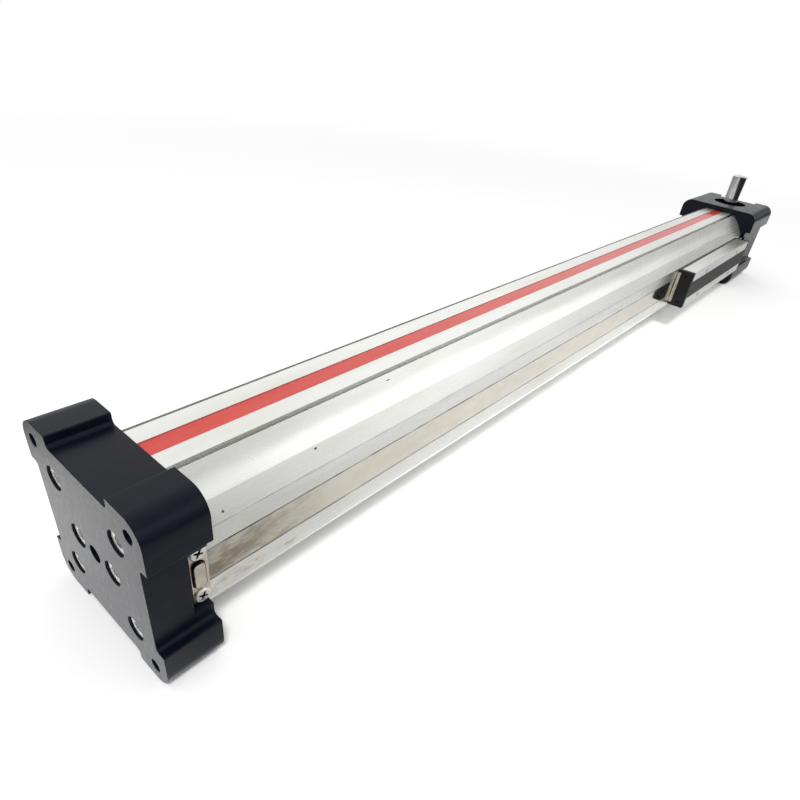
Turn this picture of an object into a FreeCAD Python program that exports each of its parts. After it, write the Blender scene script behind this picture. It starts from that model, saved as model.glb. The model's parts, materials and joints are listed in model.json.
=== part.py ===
import FreeCAD, Part
import math
import os

# Rodless belt-drive linear actuator, lying on its side. Millimetres.
# X runs along the axis from the idle end to the drive end. The slot and the carriage face -Y,
# the drive shaft points up along +Z. The origin is the middle of the idle cap's outer face.

Vector = FreeCAD.Vector

# End caps
overall_length = 845.0
cap_corner_radius = 10.0
cap_recess_width = 44.5
cap_lug_height = 5.0
cap_rail_gap = 0.5
cap_recess_fillet = 2.0
cap_edge_radius = 0.6
idle_cap_depth = 25.0
drive_cap_depth = 83.0
drive_top_recess_length = 12.0
mount_hole_inset = 8.5
mount_hole_radius = 3.0
mount_hole_depth = 18.0
air_hole_radius = 4.0

# Cap screws and tension screws, M6 socket heads sunk in counterbores
m6_radius = 3.0
m6_clearance_radius = 3.3
m6_head_radius = 5.0
m6_head_height = 6.0
m6_hex_width = 5.0
m6_hex_depth = 3.0
counterbore_radius = 5.5
counterbore_depth = 7.0
cap_screw_offset = 23.3
cap_screw_grip = 18.0
tension_screw_offset = 13.4
tension_screw_grip = 14.0

# Extruded barrel
bore_radius = 25.0
rail_height = 38.0
rail_half_width = 15.0
rail_undercut = 2.5
rail_groove_depth = 5.0
lip_offset = 17.5
lip_drop = 0.7
shoulder_through = (23.65, 32.7)
facet_start = (28.6, 26.9)
back_corner_through = 27.7
slot_face = 34.0
slot_face_half_width = 18.4
slot_half_width = 5.0

# Red strip in the top rail
strip_half_width = 4.85
strip_side_gap = 0.2
strip_groove_depth = 2.0
strip_thickness = 1.5

# Steel sealing band over the slot
band_half_width = 7.8
band_thickness = 0.4
band_recess_gap = 0.3
band_recess_depth = 0.5
band_end_inset = 2.6

# Band clamps at both caps
clamp_pocket_length = 8.2
clamp_pocket_half_width = 16.0
clamp_plate_gap = 2.0
clamp_plate_half_width = 15.2
clamp_plate_thickness = 1.1
clamp_plate_overhang = 1.5
clamp_boss_length = 5.1
clamp_boss_half_width = 6.5
clamp_boss_height = 1.3
clamp_boss_radius = 2.0
clamp_boss_shift = 0.2
clamp_screw_inset = 2.6
clamp_screw_offset = 11.7
clamp_screw_radius = 2.0
clamp_screw_head_radius = 3.4
clamp_screw_head_height = 1.2
clamp_screw_head_chamfer = 0.5
clamp_screw_length = 9.0
cross_recess_width = 1.1
cross_recess_length = 4.2
cross_recess_depth = 0.9
cross_recess_turn = 25.0

# Toothed belt, 25 mm wide, and its two pulleys
tooth_pitch = 5.0
pulley_teeth = 20
belt_half_width = 12.5
belt_land = 0.5
belt_back = 0.5
tooth_height = 1.2
tooth_root_half = 1.325
tooth_tip_half = 0.9
pulley_clearance = 0.25
groove_side_clearance = 0.3
groove_bottom_clearance = 0.8
pulley_half_width = 13.0
flange_rise = 2.1
flange_thickness = 1.5
idler_set_back = 48.0

# Drive shaft and its bearings, 17 x 35 x 10
shaft_inset = 42.0
shaft_radius = 8.0
shaft_seat_radius = 8.5
shaft_stick_out = 32.0
shaft_chamfer = 0.8
shaft_step = 27.0
shaft_foot_gap = 0.5
shaft_bearing_radius = 17.5
shaft_bearing_width = 10.0
shaft_bearing_shoulder = 1.5
shaft_shoulder_height = 2.0
hub_radius = 11.0
ring_gap = 0.3
key_width = 5.0
key_height = 5.0
key_length = 22.0
key_depth = 3.0
key_top_gap = 0.3
pulley_side_gap = 1.4
pulley_cavity_gap = 0.5
shaft_bore_step = 1.25
shaft_bore_depth = 15.0
circlip_width = 2.4
circlip_thickness = 1.2
circlip_groove_depth = 1.0
circlip_groove_play = 0.1
circlip_opening = 9.0
bearing_relief_depth = 1.5
bearing_relief_radius = 13.0

# Idler yoke, axle and bearings, 10 x 22 x 6
inner_body_gap = 0.4
yoke_start_gap = 11.0
yoke_root_gap = 3.0
yoke_nose = 17.0
yoke_cheek_gap = 0.5
axle_radius = 5.0
axle_half_length = 22.5
idler_bearing_radius = 11.0
idler_bearing_width = 6.0
idler_ring_radius = 7.2
idler_web_radius = 9.5

# Carriage
carriage_end_distance = 200.0
carriage_length = 200.0
end_plate_thickness = 4.5
bar_half_width = 17.5
bar_outer_face = 49.0
bar_inner_face = 35.6
bar_edge_radius = 0.8
carriage_hole_spacing = 110.0
carriage_hole_offset = 12.5
carriage_hole_depth = 9.0
plate_barrel_gap = 0.3
wiper_half_width = 15.0
wiper_height = 3.0
wiper_inset = 0.3
plate_screw_offset = 13.0
plate_screw_height = 43.0
plate_screw_radius = 2.0
plate_screw_head_radius = 3.5
plate_screw_head_height = 2.4
plate_screw_length = 14.0
plate_screw_hex_width = 2.5
plate_screw_hex_depth = 1.5

# Cover strip and the band's passage through the carriage
cover_half_width = 8.45
cover_side_gap = 0.05
cover_thickness = 4.2
cover_groove_side = 0.2
cover_groove_height = 1.0
band_ramp_start = 7.0
band_ramp_length = 38.0
ramp_opening_length = 44.0

# Web through the slot and the slider in the bore
web_half_width = 4.2
web_half_length = 45.0
web_foot = 20.5
slider_half_length = 70.0
slider_slot_clearance = 0.8
return_slot_gap = 1.0
yoke_screw_offset = 9.0
yoke_screw_radius = 2.5
yoke_screw_head_radius = 4.25
yoke_screw_head_height = 5.0
yoke_screw_sink = 0.2
yoke_screw_grip = 11.0
yoke_screw_hex_width = 4.0
yoke_screw_hex_depth = 2.5
guide_ring_width = 6.0
guide_ring_inset = 3.0
guide_ring_depth = 1.0
guide_ring_gap = 0.3

# Belt clamps in the slider
clamp_teeth = 9
clamp_middle_gap = 20.0
clamp_tooth_clearance = 0.1
clamp_tip_clearance = 0.2
clamp_end_play = 1.0
belt_clamp_height = 4.9
belt_clamp_half_width = 13.0
grub_radius = 2.5
grub_length = 10.0
grub_spacing = 25.0
grub_hex_width = 2.5
grub_hex_depth = 3.0
grub_lift = 0.5

# Sizes that follow from the ones above
cap_waist = rail_height + cap_rail_gap
cap_half = cap_waist + cap_lug_height
mount_hole_offset = cap_half - mount_hole_inset
lip_height = rail_height - lip_drop
barrel_start = idle_cap_depth
barrel_end = overall_length - drive_cap_depth
pitch_radius = pulley_teeth * tooth_pitch / (2 * math.pi)
shaft_axis = overall_length - shaft_inset
belt_run_pitches = round((shaft_axis - barrel_start - idler_set_back) / tooth_pitch)
belt_run = belt_run_pitches * tooth_pitch
idler_axis = shaft_axis - belt_run
land_radius = pitch_radius - belt_land
tip_radius = land_radius - tooth_height
back_radius = pitch_radius + belt_back
pulley_radius = land_radius - pulley_clearance
flange_radius = back_radius + flange_rise
flange_half = pulley_half_width + flange_thickness
pulley_cavity_radius = flange_radius + pulley_side_gap
cavity_half = flange_half + pulley_cavity_gap
bearing_low = cavity_half + shaft_bearing_shoulder
bearing_high = bearing_low + shaft_bearing_width
shaft_bore_radius = shaft_bearing_radius + shaft_bore_step
shaft_top = cap_half + shaft_stick_out
inner_body_radius = bore_radius - inner_body_gap
band_inner = slot_face - band_recess_depth
clamp_plate_face = slot_face + clamp_plate_thickness
carriage_centre = overall_length - carriage_end_distance
bar_start = carriage_centre - carriage_length / 2 + end_plate_thickness
bar_end = carriage_centre + carriage_length / 2 - end_plate_thickness
cover_floor = bar_outer_face - cover_thickness
slider_start = carriage_centre - slider_half_length
slider_end = carriage_centre + slider_half_length
slider_slot_half = belt_half_width + slider_slot_clearance
return_slot_inner = tip_radius - return_slot_gap
return_slot_outer = back_radius + return_slot_gap
belt_clamp_back = land_radius - belt_clamp_height
shaft_to_carriage = shaft_axis - carriage_centre
near_clamp_tooth = math.ceil((shaft_to_carriage + clamp_middle_gap) / tooth_pitch)
far_clamp_tooth = math.floor((shaft_to_carriage - clamp_middle_gap) / tooth_pitch) - clamp_teeth + 1


# Plain shapes


def box(x0, x1, y0, y1, z0, z1):
    return Part.makeBox(x1 - x0, y1 - y0, z1 - z0, Vector(x0, y0, z0))


def rod_x(x0, x1, y, z, radius):
    return Part.makeCylinder(radius, x1 - x0, Vector(x0, y, z), Vector(1, 0, 0))


def rod_y(y0, y1, x, z, radius):
    return Part.makeCylinder(radius, y1 - y0, Vector(x, y0, z), Vector(0, 1, 0))


def rod_z(z0, z1, x, y, radius):
    return Part.makeCylinder(radius, z1 - z0, Vector(x, y, z0), Vector(0, 0, 1))


def on_yz(a, b):
    return Vector(0, a, b)


def on_xy(a, b):
    return Vector(a, b, 0)


def on_xz(a, b):
    return Vector(a, 0, b)


# A closed outline through the corners (a, b, radius), each corner rounded by its radius.
def rounded_wire(corners, lift):
    starts = []
    middles = []
    ends = []
    count = len(corners)
    for i in range(count):
        a, b, radius = corners[i]
        here = Vector(a, b, 0)
        back = Vector(corners[i - 1][0], corners[i - 1][1], 0) - here
        ahead = Vector(corners[(i + 1) % count][0], corners[(i + 1) % count][1], 0) - here
        back.normalize()
        ahead.normalize()
        half = back.getAngle(ahead) / 2
        bisector = back + ahead
        if radius > 0:
            bisector.normalize()
        starts.append(here + back * (radius / math.tan(half)))
        middles.append(here + bisector * (radius / math.sin(half) - radius))
        ends.append(here + ahead * (radius / math.tan(half)))
    edges = []
    for i in range(count):
        start = lift(starts[i].x, starts[i].y)
        middle = lift(middles[i].x, middles[i].y)
        end = lift(ends[i].x, ends[i].y)
        following = starts[(i + 1) % count]
        if corners[i][2] > 0:
            edges.append(Part.Arc(start, middle, end).toShape())
        edges.append(Part.makeLine(end, lift(following.x, following.y)))
    return Part.Wire(edges)


def rounded_box(a, b, radius):
    return [(-a, -b, radius), (a, -b, radius), (a, b, radius), (-a, b, radius)]


def prism(wire, along):
    return Part.Face(wire).extrude(along)


# An outline of straight lines through the points (a, b).
def polygon_wire(points, lift):
    closed = [lift(a, b) for a, b in points]
    return Part.makePolygon(closed + closed[:1])


def hexagon(width):
    corner = width / math.sqrt(3)
    turns = [math.radians(60 * k) for k in range(6)]
    return [(corner * math.cos(t), corner * math.sin(t)) for t in turns]


# A socket screw along +X: the top of its head at x = 0, its shank ending at the given length.
def socket_screw(head_radius, head_height, radius, length, hex_width, hex_depth):
    head = rod_x(0, head_height, 0, 0, head_radius)
    shank = rod_x(head_height, length, 0, 0, radius)
    socket = prism(polygon_wire(hexagon(hex_width), on_yz), Vector(hex_depth, 0, 0))
    return head.fuse(shank).cut(socket).removeSplitter()


def m6_screw(length):
    return socket_screw(m6_head_radius, m6_head_height, m6_radius, length, m6_hex_width, m6_hex_depth)


def moved(shape, x, y, z):
    copy = shape.copy()
    copy.translate(Vector(x, y, z))
    return copy


def turned(shape, axis, angle):
    copy = shape.copy()
    copy.rotate(Vector(0, 0, 0), axis, angle)
    return copy


# The same shape on the other side of the plane x = middle.
def mirrored_x(shape, middle):
    return shape.mirror(Vector(middle, 0, 0), Vector(1, 0, 0))


def square_places(offset):
    return [(y, z) for y in (-offset, offset) for z in (-offset, offset)]


# Outline of a cap: a rounded square that stands on corner lugs, with a recess in the middle of each
# side; the drive cap's top has none, because the shaft comes out there.
def cap_corners(recess_on_top):
    lug = cap_recess_width / 2
    side = [
        (-cap_half, cap_half, cap_corner_radius),
        (-cap_half, lug, cap_edge_radius),
        (-cap_waist, lug, cap_recess_fillet),
        (-cap_waist, -lug, cap_recess_fillet),
        (-cap_half, -lug, cap_edge_radius),
        (-cap_half, -cap_half, cap_corner_radius),
    ]
    foot = [
        (-lug, -cap_half, cap_edge_radius),
        (-lug, -cap_waist, cap_recess_fillet),
        (lug, -cap_waist, cap_recess_fillet),
        (lug, -cap_half, cap_edge_radius),
    ]
    far_side = [(-y, -z, radius) for y, z, radius in side]
    head = [(-y, -z, radius) for y, z, radius in foot]
    if recess_on_top:
        return side + foot + far_side + head
    return side + foot + far_side


# Pocket for a band clamp at the barrel end of the idle cap: level with the slot's face, with the
# band's recess in its floor and two screw holes.
def clamp_pocket():
    start = idle_cap_depth - clamp_pocket_length
    half = clamp_pocket_half_width
    recess = band_half_width + band_recess_gap
    pocket = box(start, idle_cap_depth, -cap_half, -slot_face, -half, half)
    pocket = pocket.fuse(box(start, idle_cap_depth, -slot_face, -band_inner, -recess, recess))
    screw_x = idle_cap_depth - clamp_screw_inset
    for z in (-clamp_screw_offset, clamp_screw_offset):
        hole = rod_y(-slot_face, clamp_screw_length - clamp_plate_face, screw_x, z, clamp_screw_radius)
        pocket = pocket.fuse(hole)
    return pocket


def idle_end_cap():
    body = prism(rounded_wire(cap_corners(True), on_yz), Vector(idle_cap_depth, 0, 0))
    cuts = [rod_x(0, idle_cap_depth, 0, 0, air_hole_radius)]
    for y, z in square_places(mount_hole_offset):
        cuts.append(rod_x(0, mount_hole_depth, y, z, mount_hole_radius))
    for y, z in square_places(cap_screw_offset) + tension_places():
        cuts.append(rod_x(0, counterbore_depth, y, z, counterbore_radius))
        cuts.append(rod_x(0, idle_cap_depth, y, z, m6_clearance_radius))
    cuts.append(clamp_pocket())
    return body.cut(cuts)


def tension_places():
    return [(-tension_screw_offset, 0), (tension_screw_offset, 0)]


def idle_cap_screws():
    sink = counterbore_depth - m6_head_height
    screw = m6_screw(idle_cap_depth + cap_screw_grip - sink)
    return Part.makeCompound([moved(screw, sink, y, z) for y, z in square_places(cap_screw_offset)])


def tension_screws():
    sink = counterbore_depth - m6_head_height
    screw = m6_screw(idle_cap_depth + yoke_start_gap + tension_screw_grip - sink)
    return Part.makeCompound([moved(screw, sink, y, z) for y, z in tension_places()])


# One steel clamp plate with a raised pad, in the idle cap's pocket; its edge lies on the barrel.
def band_clamp():
    start = idle_cap_depth - clamp_pocket_length + clamp_plate_gap
    half = clamp_plate_half_width
    end = idle_cap_depth + clamp_plate_overhang
    plate = box(start, end, -clamp_plate_face, -slot_face, -half, half)
    screw_x = idle_cap_depth - clamp_screw_inset
    pad = rounded_box(clamp_boss_length / 2, clamp_boss_half_width, clamp_boss_radius)
    pad_body = prism(rounded_wire(pad, on_xz), Vector(0, clamp_boss_height, 0))
    pad_body = moved(pad_body, screw_x - clamp_boss_shift, -clamp_plate_face - clamp_boss_height, 0)
    plate = plate.fuse(pad_body)
    for z in (-clamp_screw_offset, clamp_screw_offset):
        plate = plate.cut(rod_y(-clamp_plate_face, -slot_face, screw_x, z, clamp_screw_radius))
    return plate.removeSplitter()


# Cross-recessed pan screws of one band clamp.
def clamp_screw_pair():
    head = rod_y(-clamp_screw_head_height, 0, 0, 0, clamp_screw_head_radius)
    rim = [edge for edge in head.Edges if edge.BoundBox.YMax < -clamp_screw_head_height / 2]
    head = head.makeChamfer(clamp_screw_head_chamfer, rim)
    shank = rod_y(0, clamp_screw_length, 0, 0, clamp_screw_radius)
    arm = cross_recess_length / 2
    half = cross_recess_width / 2
    top = -clamp_screw_head_height
    bottom = top + cross_recess_depth
    recess = box(-arm, arm, top, bottom, -half, half).fuse(box(-half, half, top, bottom, -arm, arm))
    screw = turned(head.fuse(shank).cut(recess), Vector(0, 1, 0), cross_recess_turn)
    screw_x = idle_cap_depth - clamp_screw_inset
    return [moved(screw, screw_x, -clamp_plate_face, z) for z in (-clamp_screw_offset, clamp_screw_offset)]


def band_clamp_screws():
    near = clamp_screw_pair()
    middle = (barrel_start + barrel_end) / 2
    return Part.makeCompound(near + [mirrored_x(screw, middle) for screw in near])


def drive_band_clamp():
    return mirrored_x(band_clamp(), (barrel_start + barrel_end) / 2)


# The barrel's outline from the slot side round over the top, as line ends and (through, end) arcs.
def barrel_outline():
    foot = rail_height - rail_groove_depth
    neck = rail_half_width - rail_undercut
    groove = strip_half_width + strip_side_gap
    strip_floor = rail_height - strip_groove_depth
    recess = band_half_width + band_recess_gap
    corner = back_corner_through
    start = (-band_inner, recess)
    steps = [
        (-slot_face, recess),
        (-slot_face, slot_face_half_width),
        (-facet_start[0], facet_start[1]),
        ((-shoulder_through[0], shoulder_through[1]), (-lip_offset, lip_height)),
        (-lip_offset, foot),
        (-neck, foot),
        (-rail_half_width, rail_height),
        (-groove, rail_height),
        (-groove, strip_floor),
        (groove, strip_floor),
        (groove, rail_height),
        (rail_half_width, rail_height),
        (neck, foot),
        (lip_offset, foot),
        (lip_offset, lip_height),
        ((corner, corner), (lip_height, lip_offset)),
        (foot, lip_offset),
        (foot, neck),
        (rail_height, rail_half_width),
        (rail_height, -rail_half_width),
        (foot, -neck),
        (foot, -lip_offset),
        (lip_height, -lip_offset),
        ((corner, -corner), (lip_offset, -lip_height)),
        (lip_offset, -foot),
        (neck, -foot),
        (rail_half_width, -rail_height),
        (-rail_half_width, -rail_height),
        (-neck, -foot),
        (-lip_offset, -foot),
        (-lip_offset, -lip_height),
        ((-shoulder_through[0], -shoulder_through[1]), (-facet_start[0], -facet_start[1])),
        (-slot_face, -slot_face_half_width),
        (-slot_face, -recess),
        (-band_inner, -recess),
        start,
    ]
    return start, steps


def profile_barrel():
    start, steps = barrel_outline()
    edges = []
    here = on_yz(*start)
    for step in steps:
        if isinstance(step[0], tuple):
            end = on_yz(*step[1])
            edges.append(Part.Arc(here, on_yz(*step[0]), end).toShape())
        else:
            end = on_yz(*step)
            edges.append(Part.makeLine(here, end))
        here = end
    length = barrel_end - barrel_start
    body = moved(prism(Part.Wire(edges), Vector(length, 0, 0)), barrel_start, 0, 0)
    cuts = [rod_x(barrel_start, barrel_end, 0, 0, bore_radius)]
    cuts.append(box(barrel_start, barrel_end, -slot_face, 0, -slot_half_width, slot_half_width))
    for y, z in square_places(cap_screw_offset):
        cuts.append(rod_x(barrel_start, barrel_end, y, z, m6_radius))
    return body.cut(cuts)


def red_strip():
    floor = rail_height - strip_groove_depth
    half = strip_half_width
    return box(barrel_start, barrel_end, -half, half, floor, floor + strip_thickness)


# The steel band lies in its recess and rises inside the carriage to pass under the cover strip.
def sealing_band():
    first = barrel_start - clamp_pocket_length + band_end_inset
    last = barrel_end + clamp_pocket_length - band_end_inset
    rise_start = bar_start + band_ramp_start
    rise_end = rise_start + band_ramp_length
    fall_start = bar_end - band_ramp_start - band_ramp_length
    fall_end = bar_end - band_ramp_start
    lifted = cover_floor + cover_groove_height / 2 - band_thickness / 2
    path = [(first, band_inner), (rise_start, band_inner), (rise_end, lifted)]
    path += [(fall_start, lifted), (fall_end, band_inner), (last, band_inner)]
    inner = [(x, -height) for x, height in path]
    outer = [(x, -height - band_thickness) for x, height in path]
    wire = polygon_wire(inner + outer[::-1], on_xy)
    return moved(prism(wire, Vector(0, 0, 2 * band_half_width)), 0, 0, -band_half_width)


def drive_end_cap():
    body = prism(rounded_wire(cap_corners(False), on_yz), Vector(drive_cap_depth, 0, 0))
    body = moved(body, barrel_end, 0, 0)
    lip = overall_length - drive_top_recess_length
    lug = cap_recess_width / 2
    cuts = [
        box(lip, overall_length, -lug, lug, cap_waist, cap_half),
        box(barrel_end, shaft_axis, -pulley_cavity_radius, pulley_cavity_radius, -cavity_half, cavity_half),
        rod_z(-cavity_half, cavity_half, shaft_axis, 0, pulley_cavity_radius),
        rod_z(cavity_half, bearing_low, shaft_axis, 0, shaft_bearing_radius - shaft_shoulder_height),
        rod_z(bearing_low, cap_half, shaft_axis, 0, shaft_bearing_radius),
        rod_z(cap_half - shaft_bore_depth, cap_half, shaft_axis, 0, shaft_bore_radius),
        rod_z(bearing_high, bearing_high + circlip_thickness + circlip_groove_play, shaft_axis, 0,
              shaft_bearing_radius + circlip_groove_depth),
        rod_z(-bearing_high, -cavity_half, shaft_axis, 0, shaft_bearing_radius),
        rod_z(-bearing_high - bearing_relief_depth, -bearing_high, shaft_axis, 0, bearing_relief_radius),
    ]
    for y, z in square_places(mount_hole_offset):
        cuts.append(rod_x(overall_length - mount_hole_depth, overall_length, y, z, mount_hole_radius))
    for y, z in square_places(cap_screw_offset):
        cuts.append(rod_x(overall_length - counterbore_depth, overall_length, y, z, counterbore_radius))
        cuts.append(rod_x(barrel_end, overall_length, y, z, m6_clearance_radius))
    cuts.append(mirrored_x(clamp_pocket(), (barrel_start + barrel_end) / 2))
    return body.cut(cuts)


def drive_cap_screws():
    sink = counterbore_depth - m6_head_height
    screw = m6_screw(drive_cap_depth + cap_screw_grip - sink)
    placed = [moved(screw, sink, y, z) for y, z in square_places(cap_screw_offset)]
    return Part.makeCompound([mirrored_x(one, overall_length / 2) for one in placed])


# A point of the belt at a distance along its pitch line, set in by a depth towards the loop's inside.
# The distance starts below the drive shaft on the slot side and runs towards the idler first.
def belt_point(distance, depth):
    arc = math.pi * pitch_radius
    radius = pitch_radius - depth
    distance = distance % (2 * belt_run + 2 * arc)
    if distance < belt_run:
        return shaft_axis - distance, -radius
    if distance < belt_run + arc:
        turn = -math.pi / 2 - (distance - belt_run) / pitch_radius
        return idler_axis + radius * math.cos(turn), radius * math.sin(turn)
    if distance < 2 * belt_run + arc:
        return idler_axis + distance - belt_run - arc, radius
    turn = math.pi / 2 - (distance - 2 * belt_run - arc) / pitch_radius
    return shaft_axis + radius * math.cos(turn), radius * math.sin(turn)


# The inner, toothed side of the belt from one tooth to another.
def belt_teeth(first, last):
    points = []
    for k in range(first, last + 1):
        middle = k * tooth_pitch
        points.append(belt_point(middle - tooth_root_half, belt_land))
        points.append(belt_point(middle - tooth_tip_half, belt_land + tooth_height))
        points.append(belt_point(middle + tooth_tip_half, belt_land + tooth_height))
        points.append(belt_point(middle + tooth_root_half, belt_land))
    return points


# Half a circle about (x, 0) from y = start round the outside of the belt's loop to y = end.
def half_turn(x, start, end):
    return Part.Arc(on_xy(x, start), on_xy(x + end, 0), on_xy(x, end)).toShape()


# An open belt: one end in the near clamp, round the idler and the drive pulley, back to the far clamp.
def toothed_belt():
    whole = 2 * belt_run_pitches + pulley_teeth
    near_end = shaft_axis - (near_clamp_tooth - 0.5) * tooth_pitch
    far_end = shaft_axis - (far_clamp_tooth + clamp_teeth - 0.5) * tooth_pitch
    teeth = belt_teeth(near_clamp_tooth, whole + far_clamp_tooth + clamp_teeth - 1)
    inner = [(near_end, -land_radius)] + teeth + [(far_end, -land_radius)]
    edges = [Part.makePolygon([on_xy(x, y) for x, y in inner])]
    back = back_radius
    edges.append(Part.makeLine(on_xy(far_end, -land_radius), on_xy(far_end, -back)))
    edges.append(Part.makeLine(on_xy(far_end, -back), on_xy(shaft_axis, -back)))
    edges.append(half_turn(shaft_axis, -back, back))
    edges.append(Part.makeLine(on_xy(shaft_axis, back), on_xy(idler_axis, back)))
    edges.append(half_turn(idler_axis, back, -back))
    edges.append(Part.makeLine(on_xy(idler_axis, -back), on_xy(near_end, -back)))
    edges.append(Part.makeLine(on_xy(near_end, -back), on_xy(near_end, -land_radius)))
    return moved(prism(Part.Wire(edges), Vector(0, 0, 2 * belt_half_width)), 0, 0, -belt_half_width)


# A flanged toothed pulley on the Z axis, without its bore.
def pulley_blank():
    bottom = tip_radius - groove_bottom_clearance
    wide = (tooth_root_half + groove_side_clearance) / pulley_radius
    narrow = (tooth_tip_half + groove_side_clearance) / bottom
    groove = [(pulley_radius, -wide), (bottom, -narrow), (bottom, narrow), (pulley_radius, wide)]
    points = []
    for k in range(pulley_teeth):
        middle = 2 * math.pi * k / pulley_teeth
        for radius, turn in groove:
            points.append((radius * math.cos(middle + turn), radius * math.sin(middle + turn)))
    teeth = prism(polygon_wire(points, on_xy), Vector(0, 0, 2 * pulley_half_width))
    teeth = moved(teeth, 0, 0, -pulley_half_width)
    upper = rod_z(pulley_half_width, flange_half, 0, 0, flange_radius)
    lower = rod_z(-flange_half, -pulley_half_width, 0, 0, flange_radius)
    return teeth.fuse([upper, lower])


def drive_pulley():
    hub = rod_z(-bearing_low, bearing_low, 0, 0, hub_radius)
    bore = rod_z(-bearing_low, bearing_low, 0, 0, shaft_seat_radius)
    key_end = shaft_seat_radius - key_depth + key_height + key_top_gap
    keyway = box(0, key_end, -key_width / 2, key_width / 2, -bearing_low, bearing_low)
    body = pulley_blank().fuse(hub).cut([bore, keyway])
    return moved(body, shaft_axis, 0, 0)


def drive_shaft():
    foot = -bearing_high + shaft_foot_gap
    seat = rod_z(foot, shaft_step, 0, 0, shaft_seat_radius)
    journal = rod_z(shaft_step, shaft_top, 0, 0, shaft_radius)
    rim = [edge for edge in journal.Edges if edge.BoundBox.ZMin > shaft_top - shaft_chamfer]
    journal = journal.makeChamfer(shaft_chamfer, rim)
    half = key_length / 2
    keyway = box(shaft_seat_radius - key_depth, shaft_seat_radius, -key_width / 2, key_width / 2, -half, half)
    return moved(seat.fuse(journal).cut(keyway), shaft_axis, 0, 0)


def pulley_key():
    start = shaft_axis + shaft_seat_radius - key_depth
    half = key_length / 2
    return box(start, start + key_height, -key_width / 2, key_width / 2, -half, half)


# A ring on the Z axis between two heights.
def ring(inner, outer, z0, z1):
    return rod_z(z0, z1, 0, 0, outer).cut(rod_z(z0, z1, 0, 0, inner))


def above_and_below(shape, x):
    return Part.makeCompound([moved(shape, x, 0, 0), moved(turned(shape, Vector(1, 0, 0), 180), x, 0, 0)])


def shaft_bearing_outer_rings():
    one = ring(hub_radius + ring_gap, shaft_bearing_radius, bearing_low, bearing_high)
    return above_and_below(one, shaft_axis)


def shaft_bearing_inner_rings():
    one = ring(shaft_seat_radius, hub_radius, bearing_low, bearing_high)
    return above_and_below(one, shaft_axis)


def bearing_circlip():
    outer = shaft_bearing_radius + circlip_groove_depth
    top = bearing_high + circlip_thickness
    half = circlip_opening / 2
    clip = ring(outer - circlip_width, outer, bearing_high, top)
    opening = box(0, outer, -half, half, bearing_high, top)
    return moved(clip.cut(opening), shaft_axis, 0, 0)


# The forked block in the bore that carries the idler; the tension screws pull it towards the cap.
def idler_yoke():
    start = barrel_start + yoke_start_gap
    root = idler_axis - back_radius - yoke_root_gap
    end = idler_axis + yoke_nose
    cheek = flange_half + yoke_cheek_gap
    body = rod_x(start, end, 0, 0, inner_body_radius)
    cuts = [box(root, end, -bore_radius, bore_radius, -cheek, cheek)]
    cuts.append(rod_z(-bore_radius, bore_radius, idler_axis, 0, axle_radius))
    for y, z in tension_places():
        cuts.append(rod_x(start, start + tension_screw_grip, y, z, m6_radius))
    return body.cut(cuts)


def idler_axle():
    return rod_z(-axle_half_length, axle_half_length, idler_axis, 0, axle_radius)


def idler_pulley():
    seat = flange_half - idler_bearing_width
    cuts = [rod_z(-flange_half, flange_half, 0, 0, idler_web_radius)]
    cuts.append(rod_z(seat, flange_half, 0, 0, idler_bearing_radius))
    cuts.append(rod_z(-flange_half, -seat, 0, 0, idler_bearing_radius))
    return moved(pulley_blank().cut(cuts), idler_axis, 0, 0)


def idler_bearing_outer_rings():
    seat = flange_half - idler_bearing_width
    one = ring(idler_ring_radius + ring_gap, idler_bearing_radius, seat, flange_half)
    return above_and_below(one, idler_axis)


def idler_bearing_inner_rings():
    seat = flange_half - idler_bearing_width
    one = ring(axle_radius, idler_ring_radius, seat, flange_half + yoke_cheek_gap)
    return above_and_below(one, idler_axis)


# Carriage bar with the web that reaches through the slot into the bore.
def carriage_yoke():
    half = bar_half_width
    edge = bar_edge_radius
    corners = [
        (-bar_outer_face, -half, edge),
        (-bar_inner_face, -half, edge),
        (-bar_inner_face, half, edge),
        (-bar_outer_face, half, edge),
    ]
    bar = moved(prism(rounded_wire(corners, on_yz), Vector(bar_end - bar_start, 0, 0)), bar_start, 0, 0)
    first = carriage_centre - web_half_length
    last = carriage_centre + web_half_length
    web = box(first, last, -bar_inner_face, -web_foot, -web_half_width, web_half_width)
    wide = cover_half_width + cover_side_gap
    cuts = [box(bar_start, bar_end, -bar_outer_face, -cover_floor, -wide, wide)]
    cuts.append(box(bar_start, bar_start + ramp_opening_length, -cover_floor, -bar_inner_face, -wide, wide))
    cuts.append(box(bar_end - ramp_opening_length, bar_end, -cover_floor, -bar_inner_face, -wide, wide))
    for x, z in carriage_hole_places():
        cuts.append(rod_y(-bar_outer_face, carriage_hole_depth - bar_outer_face, x, z, mount_hole_radius))
    head_depth = yoke_screw_head_height + yoke_screw_sink
    for x in yoke_screw_places():
        cuts.append(rod_y(-cover_floor, head_depth - cover_floor, x, 0, yoke_screw_head_radius))
        cuts.append(rod_y(-cover_floor, -web_foot, x, 0, yoke_screw_radius))
    grip = plate_screw_length - plate_screw_head_height
    for z in (-plate_screw_offset, plate_screw_offset):
        cuts.append(rod_x(bar_start, bar_start + grip, -plate_screw_height, z, plate_screw_radius))
        cuts.append(rod_x(bar_end - grip, bar_end, -plate_screw_height, z, plate_screw_radius))
    return bar.fuse(web).cut(cuts).removeSplitter()


def carriage_hole_places():
    along = carriage_hole_spacing / 2
    across = carriage_hole_offset
    return [(carriage_centre + x, z) for x in (-along, along) for z in (-across, across)]


def yoke_screw_places():
    return [carriage_centre - yoke_screw_offset, carriage_centre + yoke_screw_offset]


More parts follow.
